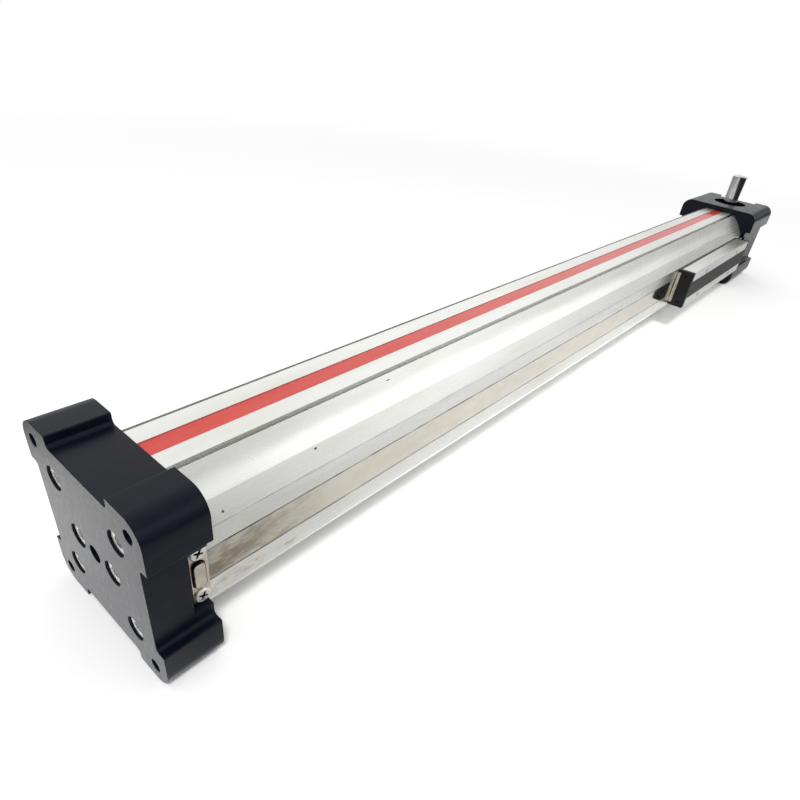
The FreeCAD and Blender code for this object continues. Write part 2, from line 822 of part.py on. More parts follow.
def yoke_screws():
    head_top = cover_floor - yoke_screw_sink
    length = head_top - web_foot + yoke_screw_grip
    screw = socket_screw(yoke_screw_head_radius, yoke_screw_head_height, yoke_screw_radius, length,
                         yoke_screw_hex_width, yoke_screw_hex_depth)
    screw = turned(screw, Vector(0, 0, 1), 90)
    return Part.makeCompound([moved(screw, x, -head_top, 0) for x in yoke_screw_places()])


# Black strip in the carriage's outer face; the band runs in the shallow groove under it.
def cover_strip():
    half = cover_half_width
    wide = band_half_width + cover_groove_side
    body = box(bar_start, bar_end, -bar_outer_face, -cover_floor, -half, half)
    groove = box(bar_start, bar_end, -cover_floor - cover_groove_height, -cover_floor, -wide, wide)
    return body.cut(groove)


def near_end_plate():
    start = bar_start - end_plate_thickness
    half = bar_half_width
    edge = bar_edge_radius
    foot = slot_face + plate_barrel_gap
    notch = foot + wiper_height
    corners = [
        (-bar_outer_face, -half, edge),
        (-foot, -half, edge),
        (-foot, -wiper_half_width, 0),
        (-notch, -wiper_half_width, 0),
        (-notch, wiper_half_width, 0),
        (-foot, wiper_half_width, 0),
        (-foot, half, edge),
        (-bar_outer_face, half, edge),
    ]
    plate = prism(rounded_wire(corners, on_yz), Vector(end_plate_thickness, 0, 0))
    plate = moved(plate, start, 0, 0)
    for z in (-plate_screw_offset, plate_screw_offset):
        head = rod_x(start, start + plate_screw_head_height, -plate_screw_height, z, plate_screw_head_radius)
        plate = plate.cut([head, rod_x(start, bar_start, -plate_screw_height, z, plate_screw_radius)])
    return plate


def far_end_plate():
    return mirrored_x(near_end_plate(), carriage_centre)


def end_plate_screws():
    screw = socket_screw(plate_screw_head_radius, plate_screw_head_height, plate_screw_radius,
                         plate_screw_length, plate_screw_hex_width, plate_screw_hex_depth)
    start = bar_start - end_plate_thickness
    near = [moved(screw, start, -plate_screw_height, z) for z in (-plate_screw_offset, plate_screw_offset)]
    return Part.makeCompound(near + [mirrored_x(one, carriage_centre) for one in near])


# Felt wipers held in the end plates, just clear of the band.
def band_wipers():
    foot = slot_face + plate_barrel_gap
    start = bar_start - end_plate_thickness + wiper_inset
    half = wiper_half_width
    near = box(start, bar_start, -foot - wiper_height, -foot, -half, half)
    return Part.makeCompound([near, mirrored_x(near, carriage_centre)])


# First and last edge of a belt clamp in X.
def belt_clamp_span(first_tooth):
    far = shaft_axis - (first_tooth - 0.5) * tooth_pitch
    near = shaft_axis - (first_tooth + clamp_teeth - 0.5) * tooth_pitch
    return near, far


def grub_places(first_tooth):
    near, far = belt_clamp_span(first_tooth)
    middle = (near + far) / 2
    return [middle - grub_spacing / 2, middle + grub_spacing / 2]


def inner_slider():
    body = rod_x(slider_start, slider_end, 0, 0, inner_body_radius)
    wide = slider_slot_half
    floor = belt_clamp_back - grub_lift
    near = belt_clamp_span(near_clamp_tooth)
    far = belt_clamp_span(far_clamp_tooth)
    cuts = [
        box(slider_start, slider_end, return_slot_inner, return_slot_outer, -wide, wide),
        box(slider_start, near[1] + clamp_end_play, -back_radius, -floor, -wide, wide),
        box(far[0] - clamp_end_play, slider_end, -back_radius, -floor, -wide, wide),
        box(carriage_centre - web_half_length, carriage_centre + web_half_length,
            -bore_radius, -web_foot, -web_half_width, web_half_width),
    ]
    for x in yoke_screw_places():
        cuts.append(rod_y(-web_foot, yoke_screw_grip - web_foot, x, 0, yoke_screw_radius))
    for x in grub_places(near_clamp_tooth) + grub_places(far_clamp_tooth):
        cuts.append(rod_y(-floor, return_slot_inner, x, 0, grub_radius))
    for start in guide_ring_starts():
        end = start + guide_ring_width
        groove = rod_x(start, end, 0, 0, bore_radius)
        cuts.append(groove.cut(rod_x(start, end, 0, 0, inner_body_radius - guide_ring_depth)))
    return body.cut(cuts)


def guide_ring_starts():
    return [slider_start + guide_ring_inset, slider_end - guide_ring_inset - guide_ring_width]


def guide_rings():
    rings = []
    for start in guide_ring_starts():
        end = start + guide_ring_width
        outer = rod_x(start, end, 0, 0, bore_radius - guide_ring_gap)
        rings.append(outer.cut(rod_x(start, end, 0, 0, inner_body_radius - guide_ring_depth)))
    return Part.makeCompound(rings)


# A toothed block that presses one belt end against the slider.
def belt_clamp(first_tooth):
    near, far = belt_clamp_span(first_tooth)
    top = land_radius - clamp_tooth_clearance
    bottom = tip_radius - clamp_tip_clearance
    wide = tooth_root_half + clamp_tooth_clearance
    narrow = tooth_tip_half + clamp_tooth_clearance
    groove = [(wide, top), (narrow, bottom), (-narrow, bottom), (-wide, top)]
    points = [(far, -belt_clamp_back), (far, -top)]
    for k in range(first_tooth, first_tooth + clamp_teeth):
        middle = shaft_axis - k * tooth_pitch
        points += [(middle + along, -depth) for along, depth in groove]
    points += [(near, -top), (near, -belt_clamp_back)]
    body = prism(polygon_wire(points, on_xy), Vector(0, 0, 2 * belt_clamp_half_width))
    return moved(body, 0, 0, -belt_clamp_half_width)


def belt_clamps():
    return Part.makeCompound([belt_clamp(near_clamp_tooth), belt_clamp(far_clamp_tooth)])


def belt_clamp_screws():
    screws = []
    for x in grub_places(near_clamp_tooth) + grub_places(far_clamp_tooth):
        body = rod_y(-belt_clamp_back, grub_length - belt_clamp_back, x, 0, grub_radius)
        socket = prism(polygon_wire(hexagon(grub_hex_width), on_xz), Vector(0, grub_hex_depth, 0))
        screws.append(body.cut(moved(socket, x, grub_length - belt_clamp_back - grub_hex_depth, 0)))
    return Part.makeCompound(screws)


nodes = {
    "profile_barrel": profile_barrel,
    "red_strip": red_strip,
    "sealing_band": sealing_band,
    "idle_end_cap": idle_end_cap,
    "drive_end_cap": drive_end_cap,
    "idle_cap_screws": idle_cap_screws,
    "drive_cap_screws": drive_cap_screws,
    "tension_screws": tension_screws,
    "idle_band_clamp": band_clamp,
    "drive_band_clamp": drive_band_clamp,
    "band_clamp_screws": band_clamp_screws,
    "toothed_belt": toothed_belt,
    "drive_pulley": drive_pulley,
    "drive_shaft": drive_shaft,
    "pulley_key": pulley_key,
    "shaft_bearing_outer_rings": shaft_bearing_outer_rings,
    "shaft_bearing_inner_rings": shaft_bearing_inner_rings,
    "bearing_circlip": bearing_circlip,
    "idler_yoke": idler_yoke,
    "idler_axle": idler_axle,
    "idler_pulley": idler_pulley,
    "idler_bearing_outer_rings": idler_bearing_outer_rings,
    "idler_bearing_inner_rings": idler_bearing_inner_rings,
    "carriage_yoke": carriage_yoke,
    "yoke_screws": yoke_screws,
    "cover_strip": cover_strip,
    "near_end_plate": near_end_plate,
    "far_end_plate": far_end_plate,
    "end_plate_screws": end_plate_screws,
    "band_wipers": band_wipers,
    "inner_slider": inner_slider,
    "guide_rings": guide_rings,
    "belt_clamps": belt_clamps,
    "belt_clamp_screws": belt_clamp_screws,
}

os.makedirs("parts", exist_ok=True)
for name, make in nodes.items():
    shape = make()
    print(name, len(shape.Solids), shape.isValid(), round(shape.Volume))
    shape.exportStep("parts/" + name + ".step")
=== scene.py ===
import json
from math import cos, pi, radians, sin

import bpy
from mathutils import Matrix, Vector


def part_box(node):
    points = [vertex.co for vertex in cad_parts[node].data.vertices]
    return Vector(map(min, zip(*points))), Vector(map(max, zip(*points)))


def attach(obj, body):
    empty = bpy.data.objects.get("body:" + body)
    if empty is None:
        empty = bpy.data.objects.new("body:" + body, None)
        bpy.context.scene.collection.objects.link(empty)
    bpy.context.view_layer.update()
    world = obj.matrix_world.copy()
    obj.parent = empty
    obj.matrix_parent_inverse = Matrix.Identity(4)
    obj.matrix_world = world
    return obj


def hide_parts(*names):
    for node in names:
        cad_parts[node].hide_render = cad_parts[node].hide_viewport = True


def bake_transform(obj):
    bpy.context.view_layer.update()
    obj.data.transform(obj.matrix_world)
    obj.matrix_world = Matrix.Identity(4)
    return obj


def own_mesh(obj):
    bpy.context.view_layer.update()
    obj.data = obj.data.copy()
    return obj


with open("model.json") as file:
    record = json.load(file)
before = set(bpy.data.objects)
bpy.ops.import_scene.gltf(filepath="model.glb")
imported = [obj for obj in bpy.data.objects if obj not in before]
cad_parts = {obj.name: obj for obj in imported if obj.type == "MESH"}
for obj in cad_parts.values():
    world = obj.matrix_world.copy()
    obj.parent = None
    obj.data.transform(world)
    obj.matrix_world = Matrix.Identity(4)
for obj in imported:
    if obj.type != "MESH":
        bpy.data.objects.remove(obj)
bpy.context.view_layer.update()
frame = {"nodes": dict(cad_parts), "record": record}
nodes = frame["nodes"]
print("frame loaded:", len(nodes), "nodes")

fadeLimits = (0.35, 0.7)  # noise between these levels fades a patch in
sheenLimits = (0.3, 0.7)  # noise between these levels runs through a roughness range
spotCore = 0.5  # share of a spot's reach that is at full strength
edgeSamples = 4  # rays that find the edges near a point
cloudSize = (7, 7, 7)  # faint clouds on small metal and plastic pieces, in millimetres
topLevel = 3  # the brightest that floor and sky may be in a reflection


# sRGB hex to a linear colour
def colour(code):
    channels = [int(code[i:i + 2], 16) / 255 for i in (1, 3, 5)]
    linear = [c / 12.92 if c <= 0.04045 else ((c + 0.055) / 1.055) ** 2.4 for c in channels]
    return (*linear, 1.0)


# a linear grey for the stage, which may be brighter than white
def grey(level):
    return (level, level, level, 1.0)


# one node with its settings, socket values and links, in a shader or a geometry tree
def addNode(tree, kind, settings=None, values=None, links=None):
    node = tree.nodes.new(kind)
    for name, value in (settings or {}).items():
        setattr(node, name, value)
    for socket, value in (values or {}).items():
        node.inputs[socket].default_value = value
    for socket, source in (links or {}).items():
        tree.links.new(source, node.inputs[socket])
    return node


# an empty material with its shader and output in place
def newMaterial(name, values):
    material = bpy.data.materials.new(name)
    material.use_nodes = True
    tree = material.node_tree
    tree.nodes.clear()
    shader = addNode(tree, "ShaderNodeBsdfPrincipled", values=values)
    addNode(tree, "ShaderNodeOutputMaterial", links={"Surface": shader.outputs["BSDF"]})
    return material, tree, shader


# noise in millimetres: the grain's size along each axis
def grain(tree, size, detail=2.0, roughness=0.5):
    place = addNode(tree, "ShaderNodeTexCoord")
    scaled = addNode(tree, "ShaderNodeMapping", {"vector_type": "POINT"},
                     {"Scale": [1000 / s for s in size]}, {"Vector": place.outputs["Object"]})
    return addNode(tree, "ShaderNodeTexNoise", None,
                   {"Scale": 1.0, "Detail": detail, "Roughness": roughness},
                   {"Vector": scaled.outputs["Vector"]}).outputs["Fac"]


# noise in patches: least below the first limit, 1 above the second
def patches(tree, size, limits=fadeLimits, detail=3.0, roughness=0.5, least=0.0):
    return addNode(tree, "ShaderNodeMapRange", None,
                   {"From Min": limits[0], "From Max": limits[1], "To Min": least, "To Max": 1.0},
                   {"Value": grain(tree, size, detail, roughness)}).outputs["Result"]


# a soft spot: 1 at a place in millimetres, 0 beyond its reach along each axis
def spot(tree, place, reach):
    here = addNode(tree, "ShaderNodeTexCoord")
    local = addNode(tree, "ShaderNodeMapping", {"vector_type": "TEXTURE"},
                    {"Location": [p / 1000 for p in place], "Scale": [r / 1000 for r in reach]},
                    {"Vector": here.outputs["Object"]})
    far = addNode(tree, "ShaderNodeVectorMath", {"operation": "LENGTH"}, links={0: local.outputs["Vector"]})
    return addNode(tree, "ShaderNodeMapRange", None,
                   {"From Min": spotCore, "From Max": 1.0, "To Min": 1.0, "To Max": 0.0},
                   {"Value": far.outputs["Value"]}).outputs["Result"]


# the strongest of several values
def strongest(tree, values):
    result = values[0]
    for value in values[1:]:
        larger = addNode(tree, "ShaderNodeMath", {"operation": "MAXIMUM"}, links={0: result, 1: value})
        result = larger.outputs[0]
    return result


# a base colour with others laid over it in turn, each where its amount says
def layered(tree, base, layers):
    under = {}
    for amount, code in layers:
        mixed = addNode(tree, "ShaderNodeMix", {"data_type": "RGBA"},
                        {6: colour(base), 7: colour(code)}, {0: amount, **under})
        under = {6: mixed.outputs[2]}
    return mixed.outputs[2]


# a shader's tone, its roughness as a wear pattern runs through the limits, and fine relief with a soft edge
def dress(tree, shader, look, tone, wear, height, limits=sheenLimits):
    low, high = look["roughness"]
    dull = addNode(tree, "ShaderNodeMapRange", None,
                   {"From Min": limits[0], "From Max": limits[1], "To Min": low, "To Max": high},
                   {"Value": wear})
    rounded = addNode(tree, "ShaderNodeBevel", {"samples": edgeSamples}, {"Radius": look["edge"] / 1000})
    bump = addNode(tree, "ShaderNodeBump", None, {"Strength": 1.0, "Distance": look["relief"] / 1000},
                   {"Height": height, "Normal": rounded.outputs["Normal"]})
    tree.links.new(tone, shader.inputs["Base Color"])
    tree.links.new(dull.outputs["Result"], shader.inputs["Roughness"])
    tree.links.new(bump.outputs["Normal"], shader.inputs["Normal"])


# extruded aluminium, clear anodised: satin, with draw lines along the barrel that are coarser than real ones
# so that they show, faint clouds, a few dark pits, stains by the idle cap, and painted shade in the gaps at
# the slot's edges and in the crease above; lengths in millimetres
barrelLook = {
    "light": "#E6E7E3", "dark": "#DADAD4", "clouds": (90, 14, 14), "line": (60, 0.2, 0.2),
    "metallic": 0.78, "roughness": (0.24, 0.3), "relief": 0.002, "edge": 0.2,
    "pit": "#3A3833",
    "pits": [((36.5, -32.1, 21.3), (0.7, 0.7, 0.7)), ((85.3, -29.4, 25.6), (1.1, 0.6, 0.6)),
             ((140.7, -20.2, 35.5), (2.0, 0.3, 0.3))],
    "stain": "#B9AE9C", "stainGrain": (5, 2, 2), "stainLimits": (0.42, 0.7),
    "stains": [((65, -34, -15), (7, 6, 3)), ((40, -34, -14), (16, 6, 5))],
    # painted shade in the gaps beside the band and in the crease above, as a dark tone on the slot face
    "gapShade": "#2E2A25", "gapShadeBreaks": (14, 3, 3), "gapShadeLimits": (0.35, 0.6), "gapShadeLeast": 0.3,
    "gapShadeFace": (-33.5, -33.0),
    "gapShades": [(8.35, 0.45, 1.0), (-8.3, 0.3, 0.7), (18.4, 0.4, 0.4)],  # height, half width and strength
}


# painted shade: dark lines along the barrel's slot side where its gaps and crease fall in shade, broken up by
# noise
def gapShadeLines(tree):
    place = addNode(tree, "ShaderNodeTexCoord")
    axes = addNode(tree, "ShaderNodeSeparateXYZ", links={0: place.outputs["Object"]})
    lines = []
    for height, half, strength in barrelLook["gapShades"]:
        off = addNode(tree, "ShaderNodeMath", {"operation": "SUBTRACT"},
                      {1: height / 1000}, {0: axes.outputs["Z"]})
        gap = addNode(tree, "ShaderNodeMath", {"operation": "ABSOLUTE"}, links={0: off.outputs[0]})
        line = addNode(tree, "ShaderNodeMapRange", None,
                       {"From Min": half / 2000, "From Max": half / 1000, "To Min": strength, "To Max": 0.0},
                       {"Value": gap.outputs[0]})
        lines.append(line.outputs["Result"])
    outer, inner = barrelLook["gapShadeFace"]
    side = addNode(tree, "ShaderNodeMapRange", None,
                   {"From Min": outer / 1000, "From Max": inner / 1000, "To Min": 1.0, "To Max": 0.0},
                   {"Value": axes.outputs["Y"]})
    whole = addNode(tree, "ShaderNodeMath", {"operation": "MULTIPLY"},
                    links={0: strongest(tree, lines), 1: side.outputs["Result"]})
    breaks = patches(tree, barrelLook["gapShadeBreaks"], barrelLook["gapShadeLimits"], least=barrelLook["gapShadeLeast"])
    return addNode(tree, "ShaderNodeMath", {"operation": "MULTIPLY"},
                   links={0: whole.outputs[0], 1: breaks}).outputs[0]


def anodisedAluminium():
    values = {"Metallic": barrelLook["metallic"]}
    material, tree, shader = newMaterial("aluminium_extruded_clear_anodised", values)
    lines = grain(tree, barrelLook["line"])
    stains = addNode(tree, "ShaderNodeMath", {"operation": "MULTIPLY"}, links={
        0: strongest(tree, [spot(tree, *stain) for stain in barrelLook["stains"]]),
        1: patches(tree, barrelLook["stainGrain"], barrelLook["stainLimits"], detail=4.0)})
    pits = strongest(tree, [spot(tree, *pit) for pit in barrelLook["pits"]])
    tone = layered(tree, barrelLook["light"], [
        (patches(tree, barrelLook["clouds"]), barrelLook["dark"]),
        (stains.outputs[0], barrelLook["stain"]),
        (pits, barrelLook["pit"]),
        # the last layer is painted shade in the slot's gaps and crease
        (gapShadeLines(tree), barrelLook["gapShade"])])
    dress(tree, shader, barrelLook, tone, lines, lines)
    return material


# black anodised caps: fine matt grain, coarser than a real one so that it shows, and rubbed paler in patches
capLook = {"body": "#0B101B", "rubbed": "#141923", "rub": (9, 3, 3), "rubLimits": (0.5, 0.75), "level": 0.17,
           "roughness": (0.27, 0.34), "grain": (0.35, 0.35, 0.35), "relief": 0.0006, "edge": 0.5}


def blackAnodised():
    material, tree, shader = newMaterial("aluminium_black_anodised", {"Specular IOR Level": capLook["level"]})
    rubbed = patches(tree, capLook["rub"], capLook["rubLimits"], detail=4.0, roughness=0.6)
    tone = layered(tree, capLook["body"], [(rubbed, capLook["rubbed"])])
    wear = grain(tree, capLook["rub"], detail=4.0, roughness=0.6)
    dress(tree, shader, capLook, tone, wear, grain(tree, capLook["grain"], detail=3.0))
    return material


# rolled stainless band: nearly a mirror, with brown and grey rub stains that fade out along the band from the
# idle end until only a share is left
bandLook = {"clean": "#E6E1D5", "stained": "#958B7A", "stain": (11, 4, 4), "stainLimits": (0.36, 0.62),
            "stainLeast": 0.25, "worn": (36, 92), "left": 0.16,
            "roughness": (0.07, 0.2), "line": (40, 0.3, 0.3), "relief": 0.001, "edge": 0.1}


def rolledSteel():
    material, tree, shader = newMaterial("stainless_band_rolled_stained", {"Metallic": 1.0})
    place = addNode(tree, "ShaderNodeTexCoord")
    along = addNode(tree, "ShaderNodeSeparateXYZ", links={0: place.outputs["Object"]})
    start, end = bandLook["worn"]
    worn = addNode(tree, "ShaderNodeMapRange", None,
                   {"From Min": start / 1000, "From Max": end / 1000,
                    "To Min": 1.0, "To Max": bandLook["left"]}, {"Value": along.outputs["X"]})
    stains = patches(tree, bandLook["stain"], bandLook["stainLimits"], detail=5.0, roughness=0.62,
                     least=bandLook["stainLeast"])
    stained = addNode(tree, "ShaderNodeMath", {"operation": "MULTIPLY"},
                      links={0: stains, 1: worn.outputs["Result"]}).outputs[0]
    tone = layered(tree, bandLook["clean"], [(stained, bandLook["stained"])])
    dress(tree, shader, bandLook, tone, stained, grain(tree, bandLook["line"]), limits=(0, 1))
    return material


# red strip: extruded plastic, glossy and slightly faded in patches
stripLook = {"fresh": "#D8382B", "faded": "#DC4A3E", "fade": (45, 6, 6), "roughness": (0.12, 0.2),
             "line": (6, 0.3, 0.3), "relief": 0.004, "edge": 0.2}


def redPlastic():
    material, tree, shader = newMaterial("plastic_red_extruded", {"IOR": 1.5})
    tone = layered(tree, stripLook["fresh"], [(patches(tree, stripLook["fade"]), stripLook["faded"])])
    lines = grain(tree, stripLook["line"])
    dress(tree, shader, stripLook, tone, lines, lines)
    return material


# painted shade in the cross recesses of the band clamps' screws, as places and reaches in millimetres
recessShadeMarks = [((x, -35.3, z), (2.7, 0.95, 2.7)) for x in (22.4, 764.6) for z in (-11.7, 11.7)]

# plain metals and plastics that differ only in their values; grain, relief and edge in millimetres, with
# grains as coarse as they need to be to show
plainLooks = {
    # bright, slightly cloudy plating, with painted shade in the screws' cross recesses
    "steel_zinc_plated": {"light": "#F0F0EC", "dark": "#DCDBD6", "metallic": 1.0, "roughness": (0.38, 0.5),
                          "grain": (0.6, 0.6, 0.6), "relief": 0.004, "edge": 0.25,
                          "paintedShade": "#0B0B0B", "marks": recessShadeMarks},
    # ground and polished, with fine rings round the axis
    "steel_ground": {"light": "#E2E2E0", "dark": "#D0D0CD", "metallic": 1.0, "roughness": (0.05, 0.12),
                     "grain": (3, 3, 0.15), "relief": 0.001, "edge": 0.3},
    # tool lines across the part
    "aluminium_machined": {"light": "#D8D8D4", "dark": "#C6C6C1", "metallic": 1.0, "roughness": (0.25, 0.38),
                           "grain": (0.4, 6, 6), "relief": 0.005, "edge": 0.3},
    # fine ground rings
    "steel_bearing_ring": {"light": "#CFCFCB", "dark": "#BDBDB8", "metallic": 1.0, "roughness": (0.14, 0.24),
                           "grain": (2, 2, 0.2), "relief": 0.003, "edge": 0.25},
    # dull, slightly mottled oxide
    "steel_black_oxide": {"light": "#1C1C1D", "dark": "#101011", "metallic": 0.6, "roughness": (0.35, 0.5),
                          "grain": (0.5, 0.5, 0.5), "relief": 0.005, "edge": 0.25},
    # fine spark grain of the mould
    "plastic_black_moulded": {"light": "#17191A", "dark": "#0F1112", "metallic": 0.0, "level": 0.22,
                              "roughness": (0.4, 0.55), "grain": (0.4, 0.4, 0.4),
                              "relief": 0.008, "edge": 0.3},
    # matt and fibrous
    "felt_pressed": {"light": "#CDC8BA", "dark": "#A9A394", "metallic": 0.0, "roughness": (0.85, 1.0),
                     "grain": (0.5, 0.5, 0.5), "relief": 0.08, "edge": 0.3},
    # waxy off-white
    "acetal_natural": {"light": "#DAD6C8", "dark": "#CBC6B6", "metallic": 0.0, "roughness": (0.3, 0.42),
                       "grain": (1, 1, 1), "relief": 0.006, "edge": 0.25},
    # dull black with drawn marks
    "polyurethane_belt": {"light": "#232323", "dark": "#161616", "metallic": 0.0, "roughness": (0.5, 0.65),
                          "grain": (1.5, 0.4, 0.4), "relief": 0.02, "edge": 0.1},
}


def plainMaterial(name):
    look = plainLooks[name]
    values = {"Metallic": look["metallic"]}
    if "level" in look:
        values["Specular IOR Level"] = look["level"]
    material, tree, shader = newMaterial(name, values)
    layers = [(patches(tree, cloudSize), look["dark"])]
    # where a look has marks, painted shade is laid in them
    if "marks" in look:
        layers.append((strongest(tree, [spot(tree, *mark) for mark in look["marks"]]), look["paintedShade"]))
    fine = grain(tree, look["grain"], detail=3.0)
    dress(tree, shader, look, layered(tree, look["light"], layers), fine, fine)
    return material


# pressed stainless clamp plate: warm, brushed across, painted shade round its raised pad's foot; millimetres
plateLook = {"light": "#DAD3C6", "dark": "#BFB6A7", "paintedShade": "#2A201B", "roughness": (0.22, 0.36),
             "grain": (3, 3, 0.4), "relief": 0.004, "edge": 0.3, "pads": (22.2, 764.8), "half": (2.55, 6.5),
             "corner": 2.0, "rim": 0.12, "rimInner": 0.25, "rimOuter": 0.45}


# 1 in a line round one pad with rounded corners, where shade is painted, 0 elsewhere
def padRim(tree, middle):
    place = addNode(tree, "ShaderNodeTexCoord")
    moved = addNode(tree, "ShaderNodeVectorMath", {"operation": "SUBTRACT"},
                    {1: (middle / 1000, 0, 0)}, {0: place.outputs["Object"]})
    size = addNode(tree, "ShaderNodeVectorMath", {"operation": "ABSOLUTE"}, links={0: moved.outputs[0]})
    wide, tall = ((half - plateLook["corner"]) / 1000 for half in plateLook["half"])
    beyond = addNode(tree, "ShaderNodeVectorMath", {"operation": "SUBTRACT"},
                     {1: (wide, 0, tall)}, {0: size.outputs[0]})
    outside = addNode(tree, "ShaderNodeVectorMath", {"operation": "MAXIMUM"},
                      {1: (0, 0, 0)}, {0: beyond.outputs[0]})
    flat = addNode(tree, "ShaderNodeVectorMath", {"operation": "MULTIPLY"},
                   {1: (1, 0, 1)}, {0: outside.outputs[0]})
    far = addNode(tree, "ShaderNodeVectorMath", {"operation": "LENGTH"}, links={0: flat.outputs[0]})
    off = addNode(tree, "ShaderNodeMath", {"operation": "SUBTRACT"},
                  {1: (plateLook["corner"] + plateLook["rim"]) / 1000}, {0: far.outputs["Value"]})
    gap = addNode(tree, "ShaderNodeMath", {"operation": "ABSOLUTE"}, links={0: off.outputs[0]})
    return addNode(tree, "ShaderNodeMapRange", None,
                   {"From Min": plateLook["rimInner"] / 1000, "From Max": plateLook["rimOuter"] / 1000,
                    "To Min": 1.0, "To Max": 0.0}, {"Value": gap.outputs[0]}).outputs["Result"]


def pressedPlate():
    material, tree, shader = newMaterial("stainless_plate_pressed", {"Metallic": 1.0})
    # painted shade round the foot of each raised pad
    rims = strongest(tree, [padRim(tree, middle) for middle in plateLook["pads"]])
    tone = layered(tree, plateLook["light"], [(patches(tree, cloudSize), plateLook["dark"]),
                                              (rims, plateLook["paintedShade"])])
    fine = grain(tree, plateLook["grain"], detail=3.0)
    dress(tree, shader, plateLook, tone, fine, fine)
    return material


plain = {name: plainMaterial(name) for name in plainLooks}
materialOf = {
    "anodised_aluminium": anodisedAluminium(),
    "red_plastic": redPlastic(),
    "polished_steel": rolledSteel(),
    "black_anodised": blackAnodised(),
    "zinc_steel": plain["steel_zinc_plated"],
    "clamp_steel": pressedPlate(),
    "belt_rubber": plain["polyurethane_belt"],
    "pulley_aluminium": plain["aluminium_machined"],
    "ground_steel": plain["steel_ground"],
    "bearing_steel": plain["steel_bearing_ring"],
    "spring_steel": plain["steel_black_oxide"],
    "black_plastic": plain["plastic_black_moulded"],
    "wiper_felt": plain["felt_pressed"],
    "guide_plastic": plain["acetal_natural"],
}
for part in frame["record"]["subparts"]:
    mesh = nodes[part["node"]].data
    mesh.materials.clear()
    mesh.materials.append(materialOf[part["material_slot"]])
print("materials made:", len(bpy.data.materials))


# a geometry tree with its named inputs; Geometry comes first
def newTree(name, inputs):
    tree = bpy.data.node_groups.new(name, "GeometryNodeTree")
    tree.interface.new_socket("Geometry", in_out="INPUT", socket_type="NodeSocketGeometry")
    for label, kind in inputs.items():
        tree.interface.new_socket(label, in_out="INPUT", socket_type="NodeSocket" + kind)
    tree.interface.new_socket("Geometry", in_out="OUTPUT", socket_type="NodeSocketGeometry")
    return tree, addNode(tree, "NodeGroupInput").outputs


# the end of each tree: instances made real, flat faces, then the material
def closeTree(tree, geometry, material):
    real = addNode(tree, "GeometryNodeRealizeInstances", links={0: geometry})
    flat = addNode(tree, "GeometryNodeSetShadeSmooth", None, {"Shade Smooth": False}, {0: real.outputs[0]})
    painted = addNode(tree, "GeometryNodeSetMaterial", links={0: flat.outputs[0], "Material": material})
    addNode(tree, "NodeGroupOutput", links={0: painted.outputs[0]})


# a plain mesh grown by a tree from points and edges
def growPiece(name, tree, sizes, points, edges, slot):
    seed = bpy.data.meshes.new(name + "Seed")
    seed.from_pydata(points, edges, [])
    piece = bpy.data.objects.new(name, seed)
    bpy.context.scene.collection.objects.link(piece)
    grow = piece.modifiers.new("grow", "NODES")
    grow.node_group = tree
    sizes = {**sizes, "Material": materialOf[slot]}
    for item in tree.interface.items_tree:
        if item.in_out == "INPUT" and item.name in sizes:
            grow[item.identifier] = sizes[item.name]
    depsgraph = bpy.context.evaluated_depsgraph_get()
    mesh = bpy.data.meshes.new_from_object(piece.evaluated_get(depsgraph), depsgraph=depsgraph)
    piece.modifiers.clear()
    piece.data = mesh
    bpy.data.meshes.remove(seed)
    return piece


# edges that join a row of points
def chain(count):
    return [(i, i + 1) for i in range(count - 1)]


# a flat strip swept along a curve with its width up Z
def sweepStrip(tree, given, path):
    upright = addNode(tree, "GeometryNodeSetCurveNormal", {"mode": "Z_UP"}, links={0: path})
    outline = addNode(tree, "GeometryNodeCurvePrimitiveQuadrilateral",
                      links={"Width": given["Thickness"], "Height": given["Width"]})
    return addNode(tree, "GeometryNodeCurveToMesh", None, {"Fill Caps": True},
                   {"Curve": upright.outputs[0], "Profile Curve": outline.outputs[0]}).outputs[0]


# a flat strip along a path in the XY plane
def stripTree():
    tree, given = newTree("flatStrip", {"Width": "Float", "Thickness": "Float", "Material": "Material"})
    path = addNode(tree, "GeometryNodeMeshToCurve", links={0: given["Geometry"]}).outputs[0]
    closeTree(tree, sweepStrip(tree, given, path), given["Material"])
    return tree


# sealing band in three strips, because it lies still, lifts and shifts as the carriage runs; millimetres
bandSizes = {"thickness": 0.4, "rampStart": 7.0, "rampLength": 38.0}


def makeBand():
    low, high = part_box("sealing_band")
    half = bandSizes["thickness"] / 2000
    lying, lifted = high[1] - half, low[1] + half
    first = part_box("near_end_plate")[1][0] + bandSizes["rampStart"] / 1000
    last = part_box("far_end_plate")[0][0] - bandSizes["rampStart"] / 1000
    ramp = bandSizes["rampLength"] / 1000
    runs = {
        "bandNear": [(low[0], lying), (first, lying)],
        "bandHump": [(first, lying), (first + ramp, lifted), (last - ramp, lifted), (last, lying)],
        "bandFar": [(last, lying), (high[0], lying)],
    }
    tree = stripTree()
    sizes = {"Width": high[2] - low[2], "Thickness": 2 * half}
    strips = {}
    for name, run in runs.items():
        points = [(x, y, 0) for x, y in run]
        strips[name] = growPiece(name, tree, sizes, points, chain(len(points)), "polished_steel")
        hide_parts("sealing_band")
    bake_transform(strips["bandNear"])
    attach(strips["bandHump"], "carriage")
    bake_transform(strips["bandFar"])


makeBand()
print("sealing band laid")

# M6 threads of the mounting holes, in millimetres; the ridge's outer half is sunk in the wall
threadSizes = {"pitch": 1.0, "rise": 0.4, "inset": 0.7, "capDepth": 16.0, "carriageDepth": 7.5,
               "turnSteps": 24, "ridgeSides": 4}


